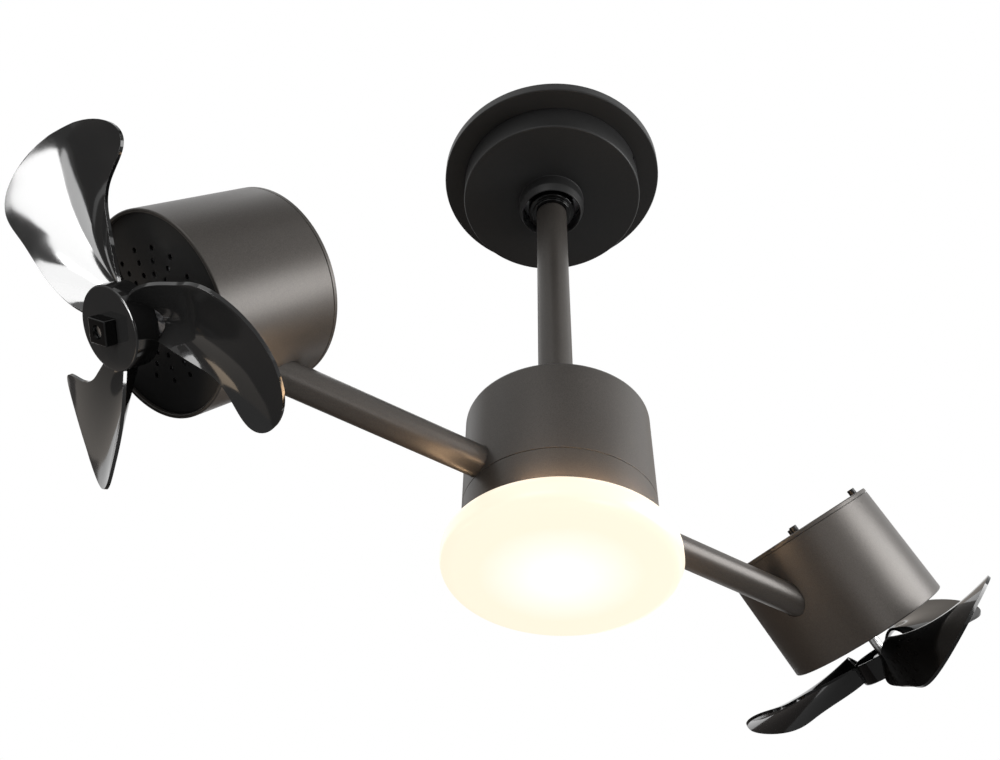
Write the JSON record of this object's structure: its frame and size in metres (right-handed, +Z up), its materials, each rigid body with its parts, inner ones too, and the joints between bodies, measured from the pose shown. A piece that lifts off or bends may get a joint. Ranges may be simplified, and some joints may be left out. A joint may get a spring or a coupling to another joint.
{
  "type": "twin head ceiling fan",
  "caption": "Ceiling fan with a canopy and downrod, a central lamp housing, and a canted fan head with a sickle-bladed propeller at each end of a straight arm.",
  "frame": {"origin": "centre of the ceiling bracket's upper face, on the downrod's axis", "axes": "+X along the arms towards the right-hand head, +Z up into the ceiling, +Y completes the right-handed frame"},
  "size_m": [0.8035, 0.2343, 0.4615],
  "materials": {
    "satin_bronze": "satin powder coat, dark bronze grey",
    "satin_black": "satin black coat",
    "gloss_black": "glossy black moulding",
    "black_screw": "blackened steel",
    "opal": "opal diffuser, lit from inside",
    "zinc_steel": "zinc plated steel",
    "cast_alloy": "as cast",
    "bare_steel": "ground steel",
    "laminated_steel": "varnished laminations",
    "copper_wire": "enamelled copper wire",
    "dark_plastic": "moulded, slightly rough",
    "ball_plastic": "hard moulded",
    "pale_plastic": "moulded",
    "white_board": "white lacquered board",
    "phosphor": "yellow phosphor"
  },
  "bodies": {
    "ceiling_bracket": {"mounting_bracket": "zinc_steel", "ceiling_plate": "satin_black", "plate_screws": "zinc_steel", "canopy_studs": "zinc_steel", "receiver_box": "dark_plastic", "terminal_block": "pale_plastic"},
    "canopy": {"canopy_cover": "satin_black"},
    "ball": {"hanger_ball": "ball_plastic", "ball_pin": "bare_steel"},
    "fan_body": {"downrod": "satin_bronze", "rod_cap": "gloss_black", "arm_block": "cast_alloy", "block_pin": "bare_steel", "housing_shell": "satin_bronze", "housing_screws": "black_screw", "arm_set_screws": "black_screw", "led_driver": "pale_plastic", "lower_ring": "satin_bronze", "fitter_screws": "zinc_steel", "heat_sink": "cast_alloy", "led_board": "white_board", "led_chips": "phosphor", "diffuser_pins": "zinc_steel"},
    "lamp_diffuser": {"diffuser": "opal"},
    "left_arm": {"left_arm_tube": "satin_bronze", "left_arm_bracket": "cast_alloy", "left_head_shell": "satin_bronze", "left_front_plate": "gloss_black", "left_rear_cover": "satin_black", "left_rear_trim": "satin_bronze", "left_cover_screws": "black_screw", "left_front_bell": "cast_alloy", "left_rear_bell": "cast_alloy", "left_stator_core": "laminated_steel", "left_windings": "copper_wire", "left_bearings": "bare_steel", "left_motor_bolts": "zinc_steel"},
    "left_rotor": {"left_rotor_core": "laminated_steel", "left_shaft": "bare_steel", "left_propeller": "gloss_black", "left_drive_pin": "bare_steel", "left_blade_nut": "gloss_black"},
    "right_arm": {"right_arm_tube": "satin_bronze", "right_arm_bracket": "cast_alloy", "right_head_shell": "satin_bronze", "right_front_plate": "gloss_black", "right_rear_cover": "satin_black", "right_rear_trim": "satin_bronze", "right_cover_screws": "black_screw", "right_front_bell": "cast_alloy", "right_rear_bell": "cast_alloy", "right_stator_core": "laminated_steel", "right_windings": "copper_wire", "right_bearings": "bare_steel", "right_motor_bolts": "zinc_steel"},
    "right_rotor": {"right_rotor_core": "laminated_steel", "right_shaft": "bare_steel", "right_propeller": "gloss_black", "right_drive_pin": "bare_steel", "right_blade_nut": "gloss_black"}
  },
  "joints": [
    {"name": "canopy_twist", "type": "hinge", "parent": "ceiling_bracket", "child": "canopy", "pos_m": [0, 0, -0.0162], "axis": [0, 0, 1], "range_deg": [0, 10]},
    {"name": "ball_tilt", "type": "hinge", "parent": "ceiling_bracket", "child": "ball", "pos_m": [0, 0, -0.022], "axis": [0, 1, 0], "range_deg": [-8, 8]},
    {"name": "rod_swing", "type": "hinge", "parent": "ball", "child": "fan_body", "pos_m": [0, 0, -0.022], "axis": [1, 0, 0], "range_deg": [-8, 8]},
    {"name": "diffuser_twist", "type": "hinge", "parent": "fan_body", "child": "lamp_diffuser", "pos_m": [0, 0, -0.4158], "axis": [0, 0, 1], "range_deg": [0, 15]},
    {"name": "left_arm_swivel", "type": "hinge", "parent": "fan_body", "child": "left_arm", "pos_m": [-0.0667, 0, -0.3799], "axis": [1, 0, 0], "range_deg": [-90, 90]},
    {"name": "left_propeller_spin", "type": "hinge", "parent": "left_arm", "child": "left_rotor", "pos_m": [-0.31828, 0, -0.40244], "axis": [-0.6626, 0, -0.749], "continuous": true},
    {"name": "right_arm_swivel", "type": "hinge", "parent": "fan_body", "child": "right_arm", "pos_m": [0.0667, 0, -0.3799], "axis": [1, 0, 0], "range_deg": [-90, 90]},
    {"name": "right_propeller_spin", "type": "hinge", "parent": "right_arm", "child": "right_rotor", "pos_m": [0.31828, 0, -0.40244], "axis": [0.6626, 0, -0.749], "continuous": true}
  ]
}
